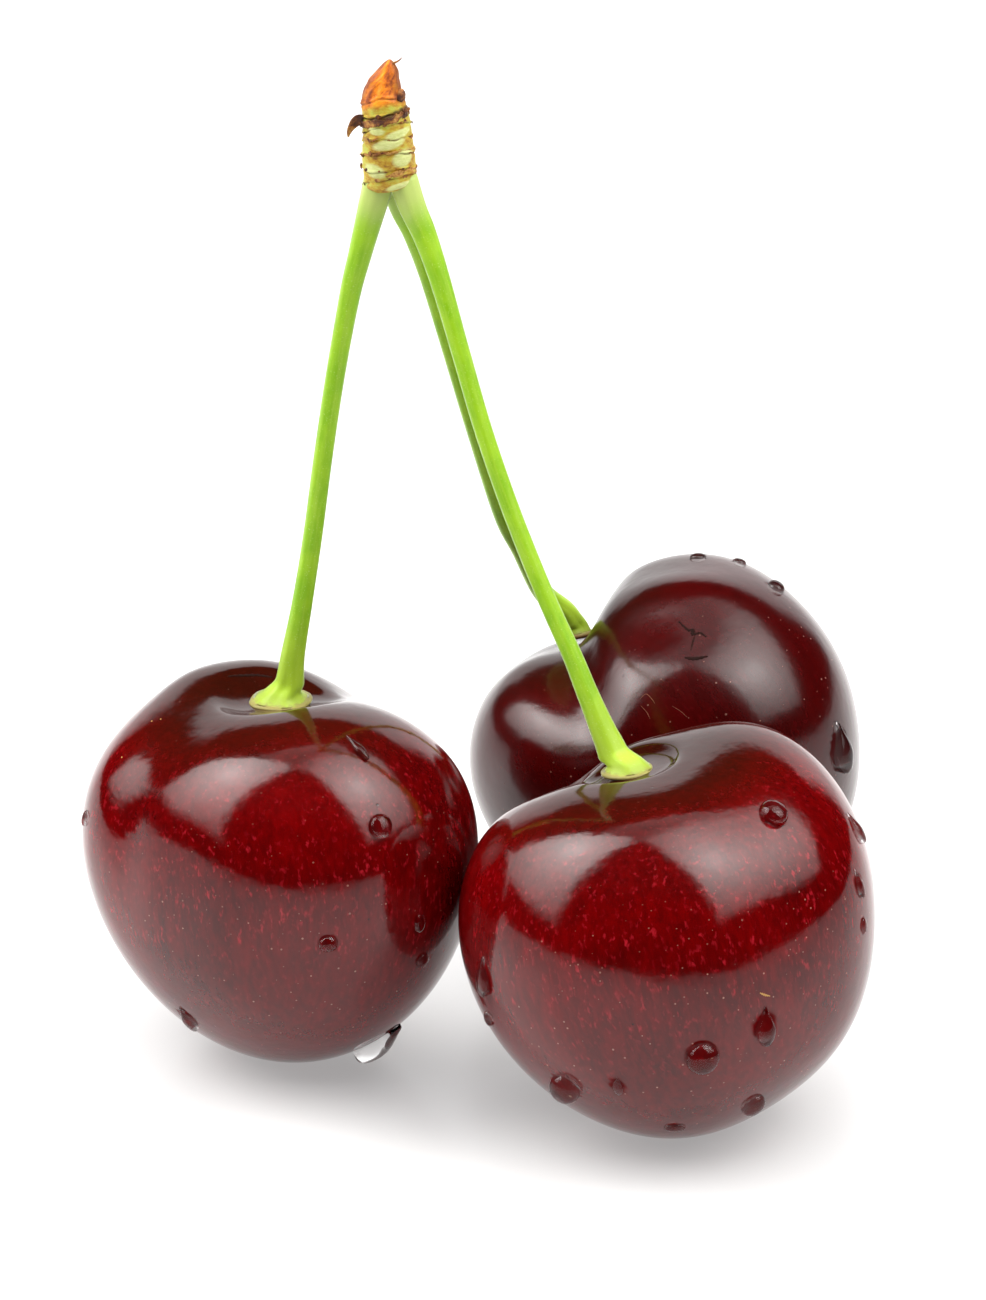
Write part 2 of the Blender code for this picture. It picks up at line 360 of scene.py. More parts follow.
# Millimetres and degrees. The rises of the swells and most values above them are the result of a fit made
# outside this script and aren't design values. A ridge's swells have their own places, set one by one.
fruitPlans = {
    "cherry_left": {
        "across": 14.0, "deep": 12.6, "tall": 13.0, "taper": 0.12, "leanLeft": 3.44, "leanBack": 8.51,
        "turn": 121.95, "cavity": 0.8, "shoulderRise": 0.63, "saddleDepth": 1.22, "saddleWidth": 4.27,
        "cavityRadius": 4.21, "sutureDepth": 0.55, "sutureWidth": 2.59, "phase": 0.0,
        "farSaddle": (0.0, 0.0), "shade": 1.0, "pit": (-0.5, -0.3, 3.9, 0.45), "stand": (-12.8, -4.65),
        "rises": (
            0.26, 0.10, 0.54, -0.01, -0.49, -0.16, 0.71, 0.08, 0.16, 0.36, -0.14, 0.16, -0.25, 0.21, 0.29,
            0, -1.00, -0.22, 0, -0.06, 0, -0.17, -0.16, 0, -0.20, 0, 0, 0.07, 0, -0.13, 0, 0, 0.01, 0,
            -0.16, 0.21, 0, -0.30, 0, 0, 0, 0, 0, 0, 0, 0.47, 0.37, -0.18, -0.11, 0.08, 0.18,
        ),
        "ridge": (),
    },
    "cherry_front": {
        "across": 13.5, "deep": 12.8, "tall": 13.4, "taper": 0.08, "leanLeft": 13.62, "leanBack": 11.03,
        "turn": 8.01, "cavity": 1.8, "shoulderRise": 0.64, "saddleDepth": 0.7, "saddleWidth": 8.57,
        "cavityRadius": 7.35, "sutureDepth": 0.22, "sutureWidth": 1.47, "phase": 2.1,
        "farSaddle": (0.0, 0.0), "shade": 1.0, "pit": (-0.3, 0.1, 3.1, 0.55), "stand": (12.5, -15.0),
        "rises": (
            0.37, 0.27, -0.56, -0.87, 0.32, 1.24, 0.51, -1.08, -0.01, 0.05, -0.04, 0, 0.11, 0.23, -0.21,
            0.36, 0, -0.14, 0.17, 0, -0.70, 0, 0.09, -0.42, 0, 0.21, 0, 0, -0.22, 0, -0.01, 0, 0, -0.11,
            0, 0, 0.21, 0, 0.39, 0, 0, -0.50, 0, 0, 0.15, 0.06, 0.63, -0.51, 0.12, -0.06, 0.05,
        ),
        "ridge": (),
    },
    "cherry_back": {
        "across": 13.5, "deep": 12.8, "tall": 13.0, "taper": 0.06, "leanLeft": 37.6, "leanBack": 20.24,
        "turn": 355.05, "cavity": 0.69, "shoulderRise": -0.09, "saddleDepth": 2.39, "saddleWidth": 2.93,
        "cavityRadius": 5.7, "sutureDepth": 0.22, "sutureWidth": 1.5, "phase": 4.4,
        # shade 0.3 darkens this fruit's colour: partly its own darker skin, partly painted shade from the
        # fruits in front of it
        "farSaddle": (0.45, 1.1), "shade": 0.3, "pit": (0.0, -0.4, 2.4, 0.2), "stand": (13.28, 14.72),
        "rises": (
            -0.10, -0.35, -0.50, -0.36, -0.13, 0.53, 0, -1.11, 0.05, 0.52, 0.02, 0, 0.08, 0.05, 0.11,
            0.33, 0, 0.09, -0.61, 0, 0.42, 0, -0.16, 0.20, 0, -0.12, 0, 0, 0.93, 0, -0.20, -0.33, 0,
            -0.68, 0, 0, 0.22, 0, -0.04, 0.02, 0, -0.04, 0, 0, 0.29, 0.14, -0.04, -0.52, -0.63, 0.40,
            0.01,
        ),
        "ridge": ((39, 321, 13, 0.58), (51, 331, 13, 0.50), (61, 333, 12, 0.20)),
    },
}


def skinPoint(plan, polar, around):
    # in the fruit's own axes: Z to the stalk, X across the shoulders, the suture on +Y
    form = fruitForm
    upward = np.cos(polar)
    outward = np.sin(polar)
    widening = 1.0 + plan["taper"] * upward
    x = plan["across"] * outward * np.cos(around) * widening
    y = plan["deep"] * outward * np.sin(around) * widening
    top = 1.0 / (1.0 + np.exp(-(upward - form["shoulderStart"]) * form["shoulderRate"]))
    cavity = plan["cavity"] * np.exp(-(x * x + y * y) / plan["cavityRadius"] ** 2)
    # the saddle opens out and flattens behind the stalk
    shallower, wider = plan["farSaddle"]
    far = ease(y, 1.0, 6.0)
    saddleWidth = plan["saddleWidth"] * (1.0 + wider * far)
    saddle = plan["saddleDepth"] * (1.0 - shallower * far) * np.exp(-(x / saddleWidth) ** 2)
    rise = plan["shoulderRise"] * x / plan["across"]
    z = plan["tall"] * upward + top * (rise - cavity - saddle)
    pitX, pitY, pitRadius, pitDepth = plan["pit"]
    away = ((x - pitX) ** 2 + (y - pitY) ** 2) / pitRadius ** 2
    z = z - pitDepth * np.exp(-away ** 4) * (upward > 0.0)
    below = np.exp(-(outward * form["girth"] / form["tipRadius"]) ** 2) * (upward < 0.0)
    z = z + form["tipDepth"] * below
    side = 1.0 / (1.0 + np.exp(-y * 1.2))
    fade = np.clip((upward + 0.25) * 1.3, 0.0, 1.0) * outward ** 2
    groove = plan["sutureDepth"] * np.exp(-(x / plan["sutureWidth"]) ** 2) * side * fade
    y = y - groove
    shape = np.stack([x, y, z * np.ones_like(x)], -1)
    aim = np.stack([outward * np.cos(around), outward * np.sin(around), upward * np.ones_like(x)], -1)
    swells = [(*spot, rise) for spot, rise in zip(swellSpots, plan["rises"]) if rise]
    for *place, span, rise in (*swells, *plan["ridge"]):
        toTip, turned = (math.radians(angle) for angle in place)
        flat = math.sin(toTip)
        middle = np.array([flat * math.cos(turned), flat * math.sin(turned), math.cos(toTip)])
        narrow = 1.0 - math.cos(math.radians(span))
        shape = shape + aim * (rise * np.exp((aim @ middle - 1.0) / narrow))[..., None]
    return shape


def fruitTurn(plan):
    turn = (
        Matrix.Rotation(math.radians(-plan["leanLeft"]), 3, "Y")
        @ Matrix.Rotation(math.radians(-plan["leanBack"]), 3, "X")
        @ Matrix.Rotation(math.radians(plan["turn"]), 3, "Z")
    )
    return np.array(turn)


def fruitFrame(name):
    # the fruit's turn and its middle, with its lowest point on the table
    plan = fruitPlans[name]
    turn = fruitTurn(plan)
    polar = np.linspace(0.0, math.pi, 121)[:, None]
    around = circle(160)[None, :]
    points = skinPoint(plan, polar, around) @ turn.T
    return turn, np.array([*plan["stand"], -points[..., 2].min() - fruitForm["sink"]])


fruitFrames = {name: fruitFrame(name) for name in fruitPlans}


def makeFruit(name, material):
    plan = fruitPlans[name]
    form = fruitForm
    turn, middle = fruitFrames[name]
    part = np.arange(1, form["rings"]) / form["rings"]
    polar = math.pi * (part - form["crowding"] * np.sin(2.0 * math.pi * part))[:, None]
    around = circle(form["sides"])[None, :]
    local = skinPoint(plan, polar, around)
    poles = [skinPoint(plan, np.array(angle), np.array(0.0)) for angle in (0.0, math.pi)]
    placed = local @ turn.T + middle
    placed[..., 2] = np.maximum(placed[..., 2], 0.0)
    poles = [turn @ pole + middle for pole in poles]
    everywhere = np.ones_like(polar) * np.ones_like(around)
    girth = form["girth"]
    out = girth * np.sin(polar)
    wrap = np.stack([out * np.cos(around), out * np.sin(around), -girth * polar * everywhere], -1)
    wrap = wrap + plan["phase"] * 17.0
    wet = np.zeros_like(everywhere)
    for fruit, toTip, turned, wide, long, _ in sum(dropPlans.values(), ()):
        if fruit == name:
            at = surfaceSpot(name, math.radians(toTip), math.radians(turned))[0]
            reach = 0.25 * (wide + long) * 0.98
            wet = np.maximum(wet, ease(np.linalg.norm(placed - at, axis=-1), reach, reach * 0.9))
    piece = gridObject(name.replace("cherry", "fruit"), placed, {
        "wrap": wrap, "upward": np.cos(polar) * everywhere, "wet": wet, "shade": plan["shade"] * everywhere,
    }, poles)
    finish(piece, "cherry_skin", material, name)


def skinMaterial():
    look = {
        "deep": (0.052, 0.0004, 0.0005), "red": (0.130, 0.0004, 0.0008), "brown": (0.014, 0.0036, 0.0013),
        "night": (0.016, 0.0006, 0.0006),
        "fleck": (0.40, 0.012, 0.022), "dot": (0.46, 0.22, 0.16), "nick": (0.010, 0.0020, 0.0015),
        "roughness": 0.10, "index": 1.45, "wetIndex": 1.08,
    }
    paint = Paint("cherry skin")
    wrap = paint.attribute("wrap")["Vector"]
    x, y, z = paint.parts(wrap)
    height = paint.attribute("upward")["Fac"]
    long = paint.vector(x, y, z * 0.46)
    longer = paint.vector(x, y, z * 0.26)
    shade = paint.attribute("shade")["Fac"]
    broad = paint.noise(wrap, 0.13, 2.0)["Fac"]
    mottle = paint.noise(longer, 1.9, 4.0, 0.66, 0.3)["Fac"]
    dashes = paint.noise(long, 3.5, 2.0, 0.5, 0.25)["Fac"].step(0.54, 0.74)
    patches = paint.noise(wrap, 0.6, 3.0, 0.6)["Fac"].step(0.42, 0.64)
    tone = (mottle.step(0.30, 0.72) * 0.6 + broad.step(0.35, 0.65) * 0.4).clamped()
    color = paint.blend(tone, look["deep"], look["red"])
    middle = height.bell(0.15, 0.55) * 0.8 + 0.2
    amount = (dashes * (patches * 0.8 + 0.2) * middle * shade * 0.70).clamped()
    color = paint.blend(amount, color, look["fleck"])
    # fruits with shade below 1 are darkened toward this colour: partly their own darker skin, partly painted
    # shade from the fruits in front
    color = paint.blend((1.0 - shade) * (0.9 + mottle * 0.2), color, look["night"])
    crown = height.step(0.60, 0.98) * 0.85
    color = paint.blend(crown, color, look["brown"])
    cell = paint.cells(wrap, 1.7)
    chance = paint.parts(cell["Color"])
    chosen = chance[0].step(0.16, 0.20)
    size = chance[1] * 0.080 + 0.065
    dots = ((size - cell["Distance"]) / 0.045).clamped() * chosen * (height.step(0.75, -0.20) * 0.9 + 0.1)
    color = paint.blend((dots * (chance[2] * 0.5 + 0.2)).clamped(), color, look["dot"])
    pit = paint.cells(wrap, 0.42)
    nick = ((0.050 - pit["Distance"]) / 0.02).clamped() * paint.parts(pit["Color"])[1].step(0.55, 0.60)
    color = paint.blend(nick * 0.8, color, look["nick"])
    grain = paint.noise(wrap, 6.0, 3.0, 0.6)["Fac"]
    rough = grain * 0.05 + (look["roughness"] - 0.025) + dots * 0.2 + (1.0 - shade) * 0.10
    swell = paint.noise(wrap, 0.55, 2.0)["Fac"] + paint.noise(wrap, 1.7, 2.0)["Fac"] * 0.14
    normal = paint.bump(swell * 0.8 + grain * 0.05 + dots * 0.08 - nick * 0.3, 0.3, 0.00012)
    dry = paint.glossy({"Base Color": color, "Roughness": rough, "Normal": normal, "IOR": look["index"]})
    # under a drop the water hides the skin's own shine
    wet = paint.glossy({"Base Color": color, "Roughness": 0.3, "Normal": normal, "IOR": look["wetIndex"]})
    return paint.close(paint.mixed(paint.attribute("wet")["Fac"], dry, wet))


# ---- scars on the skins

# fruit, width in millimetres, tone from dark to pale, then places from the stalk and round it in degrees;
# the places were worked out outside this script
scarPlans = (
    ("cherry_left", 0.24, 0.0, ((13.0, 380.7), (12.2, 360.3), (12.4, 340.6), (12.7, 325.8))),
    ("cherry_back", 0.24, 0.0, (
        (57.1, 314.7), (61.8, 314.0), (63.2, 315.0), (64.3, 313.7), (65.6, 315.6), (68.0, 315.8),
    )),
    ("cherry_back", 0.13, 0.05, ((64.9, 314.2), (66.7, 311.5), (68.6, 309.1))),
    ("cherry_back", 0.27, 0.0, ((69.6, 305.9), (71.9, 307.8), (73.7, 311.1))),
    ("cherry_back", 0.05, 0.55, ((71.7, 287.5), (71.8, 289.8), (74.4, 290.3), (76.2, 290.2))),
    ("cherry_back", 0.05, 0.5, ((73.7, 286.6), (76.8, 286.9), (78.9, 286.6))),
    ("cherry_back", 0.05, 0.5, ((79.9, 293.7), (82.5, 294.7), (85.1, 295.2))),
    ("cherry_front", 0.14, 0.9, ((100.5, 287.0), (101.7, 288.5), (102.6, 290.1))),
    ("cherry_left", 0.10, 1.0, ((33.0, 66.3), (33.2, 66.7))),
    ("cherry_left", 0.10, 1.0, ((30.3, 69.6), (30.5, 70.0))),
    ("cherry_left", 0.12, 1.0, ((46.3, 71.4), (46.5, 71.8))),
)


scarThickness = 0.025


def makeScar(index, plan, material):
    fruit, wide, tone, spots = plan
    route = smoothRoute([np.radians(spot) for spot in spots], 10)
    rings = []
    for step, (polar, around) in enumerate(route):
        part = step / (len(route) - 1)
        at, outward, _ = surfaceSpot(fruit, polar, around)
        behind, ahead = (surfaceSpot(fruit, *place)[0] for place in nearby(route, step))
        side = unit(np.cross(outward, ahead - behind))
        pointed = 0.25 + 0.75 * math.sin(math.pi * (0.06 + 0.88 * part))
        reach = 0.5 * wide * pointed * (1.0 + 0.3 * math.sin(step * 1.7))
        rings.append(oval(at, side, outward, np.arange(8) * math.pi / 4.0, reach, scarThickness))
    finish(tonedPiece("scar_%d" % index, rings, tone), "cherry_skin", material)


def scarMaterial():
    paint = Paint("scar")
    tone = paint.attribute("tone")["Fac"]
    grain = paint.noise(paint.node("ShaderNodeTexCoord")["Object"], 3000.0, 2.0)["Fac"]
    color = paint.ramp(tone + (grain - 0.5) * 0.3, (
        (0.0, (0.010, 0.002, 0.001)), (0.35, (0.06, 0.010, 0.006)), (0.75, (0.26, 0.09, 0.05)),
        (1.0, (0.55, 0.34, 0.10)),
    ))
    return paint.principled({
        "Base Color": color, "Roughness": 0.65 + grain * 0.2, "Specular IOR Level": 0.12,
    })


# ---- stalks

stalkForm = {
    "sides": 48, "rings": 190, "neck": 1.7, "flutes": 5, "discTop": 0.10,
    "discRim": ((-0.30, 0.72), (-0.26, 0.90), (-0.14, 0.99), (-0.04, 1.0), (0.04, 0.95), (0.10, 0.84)),
}
# the routes were worked out outside this script, and then partly moved
stalkPlans = {
    "stalk_left": {
        "disc": (-12.85, -2.55, 23.95), "axis": (0.0, 0.03, 1.0), "discRadius": 2.1, "neckRadius": 1.0,
        "shaft": 0.615, "via": (
            (-12.17, -2.35, 25.84), (-11.96, -2.25, 27.35), (-11.34, -2.05, 30.81), (-10.64, -1.82, 35.26),
            (-9.91, -1.58, 40.71), (-9.09, -1.34, 46.12), (-8.12, -1.1, 51.47), (-7.47, -0.98, 54.13),
            (-6.78, -0.85, 56.84),
        ),
        "start": (-12.45, -2.45, 23.6), "end": (-6.2, -0.8, 59.1), "flute": 0.055, "wander": 0.09, "seed": 3,
    },
    "stalk_front": {
        "disc": (9.62, -12.75, 23.52), "axis": (-0.10, 0.12, 1.0), "discRadius": 1.75, "neckRadius": 1.08,
        "shaft": 0.58, "via": (
            (8.56, -11.9, 24.65), (8.03, -11.5, 25.73), (7.0, -10.7, 28.03), (6.04, -9.97, 30.29),
            (4.32, -8.77, 33.93), (2.27, -7.25, 38.82), (0.49, -5.75, 43.7), (-1.0, -4.28, 48.58),
            (-2.36, -2.91, 53.13), (-3.35, -2.0, 55.86), (-4.1, -1.5, 57.49),
        ),
        "start": (9.25, -12.5, 22.98), "end": (-4.75, -1.05, 59.3), "flute": 0.04, "wander": 0.05,
        "seed": 11,
    },
    "stalk_back": {
        "disc": (6.6, 17.3, 20.3), "axis": (-0.15, 0.25, 0.95), "discRadius": 1.35, "neckRadius": 0.95,
        "shaft": 0.56, "via": (
            (5.98, 16.91, 21.89), (4.26, 15.65, 24.18), (2.82, 14.02, 27.78), (1.6, 12.59, 30.89),
            (-0.12, 9.55, 37.8), (-1.68, 6.52, 44.56), (-3.19, 3.5, 51.18), (-4.12, 1.85, 54.69),
            (-4.78, 0.92, 56.63),
        ),
        "start": (6.6, 17.4, 20.0), "end": (-5.3, 0.1, 58.9), "flute": 0.04, "wander": 0.06, "seed": 23,
    },
}


def ripple(angle, seed, waves=6):
    # a smooth random value from about -1 to 1 round a circle
    chance = np.random.default_rng(seed)
    total = np.zeros_like(angle)
    for wave in range(1, waves + 1):
        total = total + chance.normal() * np.cos(wave * angle + chance.uniform(0.0, 6.28)) / wave ** 0.7
    return total / 2.0


def smoothRoute(points, perSpan=24):
    ends = [2 * points[0] - points[1], *points, 2 * points[-1] - points[-2]]
    route = []
    for a, b, c, d in zip(ends, ends[1:], ends[2:], ends[3:]):
        for t in np.arange(perSpan) / perSpan:
            route.append(0.5 * (2 * b + (c - a) * t + (2 * a - 5 * b + 4 * c - d) * t ** 2
                                + (3 * b - a - 3 * c + d) * t ** 3))
    return np.array(route + [points[-1]])


def makeStalk(name, material):
    plan, form = stalkPlans[name], stalkForm
    axis = unit(plan["axis"])
    disc = np.array(plan["disc"])
    route = smoothRoute([np.array(point) for point in (plan["start"], *plan["via"], plan["end"])])
    walked = np.concatenate([[0.0], np.cumsum(np.linalg.norm(np.diff(route, axis=0), axis=1))])
    length = walked[-1]
    discTop = form["discTop"]
    lengths = discTop + (length - discTop) * np.linspace(0.0, 1.0, form["rings"]) ** 1.5
    angle = circle(form["sides"])
    rim = 1.0 + plan["wander"] * ripple(angle, plan["seed"])
    flutes = np.cos(form["flutes"] * angle + plan["seed"]) + 0.5 * np.cos(3 * angle + 1.0)
    across = unit(np.cross(axis, (0.0, 1.0, 0.0)))
    deep = np.cross(axis, across)
    rings = []
    place = []
    for rise, part in form["discRim"]:
        reach = plan["discRadius"] * part * rim
        rings.append(oval(disc + axis * rise, across, deep, angle, reach, reach))
        place.append((rise - discTop, length - rise))
    for distance in lengths:
        at, ahead, behind = (
            np.array([np.interp(distance + step, walked, route[:, k]) for k in range(3)])
            for step in (0.0, 0.2, -0.2)
        )
        free = ease(distance, discTop, form["neck"])
        along = unit(unit(ahead - behind) * free + axis * (1.0 - free))
        side = unit(np.cross(along, (0.0, 1.0, 0.0)))
        front = np.cross(along, side)
        toSpur = length - distance
        shaft = plan["shaft"]
        shaft += (plan["neckRadius"] - shaft) * math.exp(-max(distance - 0.8, 0.0) / 3.4)
        shaft += 0.38 * math.exp(-(toSpur / 5.2) ** 1.4)
        spread = plan["discRadius"] * form["discRim"][-1][1] * rim - shaft
        flare = spread * np.exp(-(distance - discTop) / 0.42)
        fluted = 1.0 + plan["flute"] * flutes * math.exp(-((distance - 1.1) / 1.1) ** 2)
        ribbed = 1.0 + 0.018 * np.cos(7 * angle + 0.05 * distance)
        reach = shaft * fluted * ribbed + flare
        centre = (disc + axis * distance) * (1.0 - free) + at * free
        rings.append(oval(centre, side, front, angle, reach, reach))
        place.append((distance, toSpur))
    foot, spur = (np.array(place) * np.ones((form["sides"], 1, 1))).transpose(2, 1, 0)
    wrap = np.stack([np.cos(angle) + 0.0 * foot, np.sin(angle) + 0.0 * foot, foot + plan["seed"] * 7.0], -1)
    attributes = {"wrap": wrap, "foot": foot, "spur": spur}
    piece = gridObject(name.replace("stalk", "stem"), np.array(rings), attributes)
    finish(piece, "stalk_green", material, name)


def stalkMaterial():
    paint = Paint("stalk green")
    wrap = paint.attribute("wrap")["Vector"]
    foot = paint.attribute("foot")["Fac"]
    spur = paint.attribute("spur")["Fac"]
    x, y, z = paint.parts(wrap)
    long = paint.vector(x, y, z * 0.10)
    streaks = paint.noise(long, 2.6, 3.0, 0.6)["Fac"]
    clouds = paint.noise(paint.vector(x * 0.6, y * 0.6, z * 0.55), 1.0, 2.0)["Fac"]
    grain = paint.noise(paint.vector(x, y, z * 1.4), 6.5, 2.0, 0.6)["Fac"]
    color = paint.blend(clouds.step(0.3, 0.7), (0.205, 0.430, 0.004), (0.290, 0.520, 0.012))
    color = paint.blend(streaks.step(0.42, 0.72) * 0.45, color, (0.36, 0.56, 0.05))
    color = paint.blend(foot.step(7.5, 1.5) * 0.7, color, (0.40, 0.56, 0.040))
    color = paint.blend(grain.step(0.60, 0.74) * 0.40, color, (0.60, 0.74, 0.26))
    pale = (spur + clouds * 1.6).step(4.6, 1.5)
    color = paint.blend(pale * 0.85, color, (0.50, 0.60, 0.17))
    rim = (foot + (grain - 0.5) * 0.45 + (streaks - 0.5) * 0.4).step(0.30, -0.06)
    color = paint.blend(foot.step(1.2, 0.3) * 0.6, color, (0.26, 0.34, 0.035))
    color = paint.blend(rim * 0.9, color, (0.24, 0.19, 0.060))
    brown = (foot + (clouds - 0.5) * 1.2).step(-0.12, -0.38)
    color = paint.blend(brown, color, (0.20, 0.10, 0.03))
    normal = paint.bump(streaks * 0.7 + grain * 0.3, 0.35, 0.00008)
    return paint.principled({
        "Base Color": color, "Roughness": 0.38 + grain * 0.12, "Normal": normal, "IOR": 1.38,
        "Sheen Weight": 0.8, "Sheen Roughness": 0.25, "Sheen Tint": (0.92, 1.0, 0.80, 1.0),
    })


# ---- spur

spurForm = {
    "foot": (-5.6, -0.8, 58.7), "flatness": 0.94, "rings": 240, "sides": 180, "tall": 8.38,
    "profile": (
        (0.02, 1.36, 0.12), (0.25, 1.64, 0.10), (1.9, 1.69, 0.0), (3.0, 1.60, -0.05), (4.2, 1.53, -0.12),
        (5.0, 1.46, -0.20), (5.7, 1.36, -0.33), (6.5, 1.18, -0.34), (7.1, 0.98, -0.28), (7.7, 0.66, -0.04),
        (8.15, 0.36, 0.06), (8.38, 0.10, 0.10),
    ),
    # height at the sides, lift to the right, lift at the front, depth
    "creases": (
        (0.36, 0.20, 0.62, 0.13), (1.27, 0.04, 0.16, 0.11), (2.16, 0.06, 0.48, 0.15),
        (3.06, 0.16, 0.50, 0.13), (3.75, 0.32, 0.70, 0.13), (4.85, 0.22, 0.15, 0.20),
        (5.60, 0.20, 0.45, 0.12),
    ),
    "creaseWidth": 0.065,
    # angle from +X, height, half-sizes in degrees and millimetres, rise to the right
    "lenses": (
        (-54.0, 2.30, 27.0, 0.56, 0.006), (-124.0, 1.45, 27.0, 0.46, -0.004),
        (-86.0, 3.25, 40.0, 0.36, 0.006), (-58.0, 3.90, 36.0, 0.26, 0.005),
        (-116.0, 4.05, 22.0, 0.25, 0.0), (60.0, 2.2, 40.0, 0.45, 0.005), (150.0, 3.0, 35.0, 0.40, 0.0),
        (110.0, 1.2, 30.0, 0.35, 0.004), (-70.0, 0.42, 30.0, 0.22, 0.005),
    ),
}


def spurMiddle(height):
    heights, radii, drifts = (np.array(column) for column in zip(*spurForm["profile"]))
    return np.interp(height, heights, radii), np.interp(height, heights, drifts)


def creaseHeight(crease, around):
    base, right, front, _ = crease
    ahead = front * np.sin(around) * (np.sin(around) < 0)
    return base + right * np.cos(around) - ahead + 0.05 * np.sin(3 * around + base * 9)


def spurPoint(height, around, radius):
    drift = spurMiddle(height)[1]
    x = drift + radius * np.cos(around)
    y = spurForm["flatness"] * radius * np.sin(around)
    return np.stack([x, y, height * np.ones_like(x)], -1) + np.array(spurForm["foot"])


def makeSpur(material):
    form = spurForm
    height = np.linspace(form["profile"][0][0], form["tall"] - 0.01, form["rings"])[:, None]
    around = np.linspace(-math.pi, math.pi, form["sides"], endpoint=False)[None, :]
    height = height * np.ones_like(around)
    around = around * np.ones_like(height)
    radius = spurMiddle(height)[0]
    crease = np.zeros_like(height)
    rough = np.zeros_like(height)
    facing = np.clip(-np.sin(around), 0.0, 1.0)
    for index, plan in enumerate(form["creases"]):
        away = height - creaseHeight(plan, around) - 0.07 * ripple(around * 2.0, index + 40)
        mark = np.exp(-(np.abs(away) / form["creaseWidth"]) ** 1.5)
        broken = 0.55 + 0.45 * np.tanh(1.6 * ripple(around * 2.0, index + 50))
        whole = 0.5 + 0.5 * np.tanh(2.0 * ripple(around * 3.0, index + 60))
        lip = np.exp(-((away - 0.13) / 0.08) ** 2) * whole
        crease = np.maximum(crease, mark * broken)
        rough = rough + lip + 0.5 * mark
        radius = radius - plan[3] * mark * broken + 0.075 * lip
    lens = np.zeros_like(height)
    for angle, middle, wide, tall, rise in form["lenses"]:
        turned = (np.degrees(around) - angle + 180.0) % 360.0 - 180.0
        part = (turned / wide) ** 2 + ((height - middle - rise * turned) / tall) ** 2
        lens = np.maximum(lens, 1.0 - ease(part, 0.45, 1.35))
        radius = radius + 0.05 * np.exp(-part * 1.3)
    tornLine = 5.2 + 0.42 * facing + 0.22 * np.cos(around) + 0.10 * ripple(around, 7)
    torn = ease(height - tornLine, -0.12, 0.35)
    # the torn face is scooped between raised edges and ploughed by a few fibres
    scoop = np.exp(-((around + 1.75) / 0.55) ** 2) * ease(height, 5.9, 6.9) * ease(height, 8.5, 7.7)
    fibre = np.sin(around * 6.0 + height * 2.6 + 1.2 * ripple(around, 9))
    fibre = fibre + 0.5 * np.sin(around * 13.0 - height * 4.0)
    radius = radius * (1.0 - 0.16 * scoop + torn * 0.03 * fibre)
    radius = radius * (1.0 + 0.035 * ripple(around, 12) * ease(height, -0.2, 0.6))
    edge = torn * np.clip(np.abs(around + 1.75) / 1.3 - 0.25, 0.0, 1.0)
    slant = 0.30 * np.cos(around) * np.exp(-np.clip(height + 0.2, 0.0, 9.0) / 0.9)
    points = spurPoint(height, around, np.maximum(radius, 0.02))
    points[..., 2] += slant
    band = np.exp(-((height - 4.85 - 0.42 * np.cos(around)) / 0.36) ** 2)
    poles = [points[0].mean(0), points[-1].mean(0) + np.array([0.0, 0.0, 0.02])]
    piece = gridObject("spur_bark", points, {
        "wrap": np.stack([np.cos(around), np.sin(around), height], -1),
        "dark": band * ease(np.cos(around + 1.0), -0.5, 0.6),
        "crease": crease, "lens": lens, "torn": torn, "rough": rough, "edge": edge,
    }, poles)
    finish(piece, "spur_bark", material, "spur")
    return piece


def spurMaterial():
    paint = Paint("spur bark")
    wrap = paint.attribute("wrap")["Vector"]
    crease, lens, torn, dark, edge = (
        paint.attribute(name)["Fac"] for name in ("crease", "lens", "torn", "dark", "edge")
    )
    x, y, z = paint.parts(wrap)
    blotch = paint.noise(paint.vector(x * 1.2, y * 1.2, z), 1.4, 3.0, 0.6)["Fac"]
    fine = paint.noise(paint.vector(x, y, z * 1.4), 5.0, 3.0, 0.65)["Fac"]
    bark = paint.ramp(blotch + (fine - 0.5) * 0.35, (
        (0.30, (0.22, 0.080, 0.008)), (0.42, (0.43, 0.235, 0.014)), (0.54, (0.50, 0.39, 0.035)),
        (0.68, (0.47, 0.50, 0.070)),
    ))
    pale = paint.blend(fine, (0.46, 0.53, 0.09), (0.78, 0.80, 0.42))
    color = paint.blend((lens * 1.1 + (fine - 0.5) * 0.45).clamped() * 0.95, bark, pale)
    streak = paint.noise(paint.vector(x * 1.2 - z * 0.55, y * 1.2, z * 0.75), 1.5, 3.0, 0.55, 0.4)["Fac"]
    orange = paint.ramp(streak + (fine - 0.5) * 0.25, (
        (0.30, (0.11, 0.018, 0.003)), (0.43, (0.48, 0.095, 0.004)), (0.54, (0.82, 0.225, 0.004)),
        (0.70, (0.92, 0.38, 0.015)),
    ))
    orange = paint.blend((edge * 1.3 + (blotch - 0.5) * 1.0).clamped() * 0.85, orange, (0.17, 0.045, 0.010))
    color = paint.blend(torn, color, orange)
    line = (crease * 1.1 + (fine - 0.5) * 0.7).step(0.25, 0.95)
    color = paint.blend(line * (1.0 - torn * 0.6) * 0.8, color, (0.19, 0.085, 0.012))
    color = paint.blend((dark + (blotch - 0.5) * 1.1).step(0.40, 0.85) * 0.9, color, (0.075, 0.018, 0.006))
    normal = paint.bump(fine * 0.6 + streak * 0.4, 0.6, 0.0001)
    return paint.principled({
        "Base Color": color, "Roughness": 0.45 + fine * 0.2, "Normal": normal, "IOR": 1.45,
    })


# ---- dry scales, bud and fibre

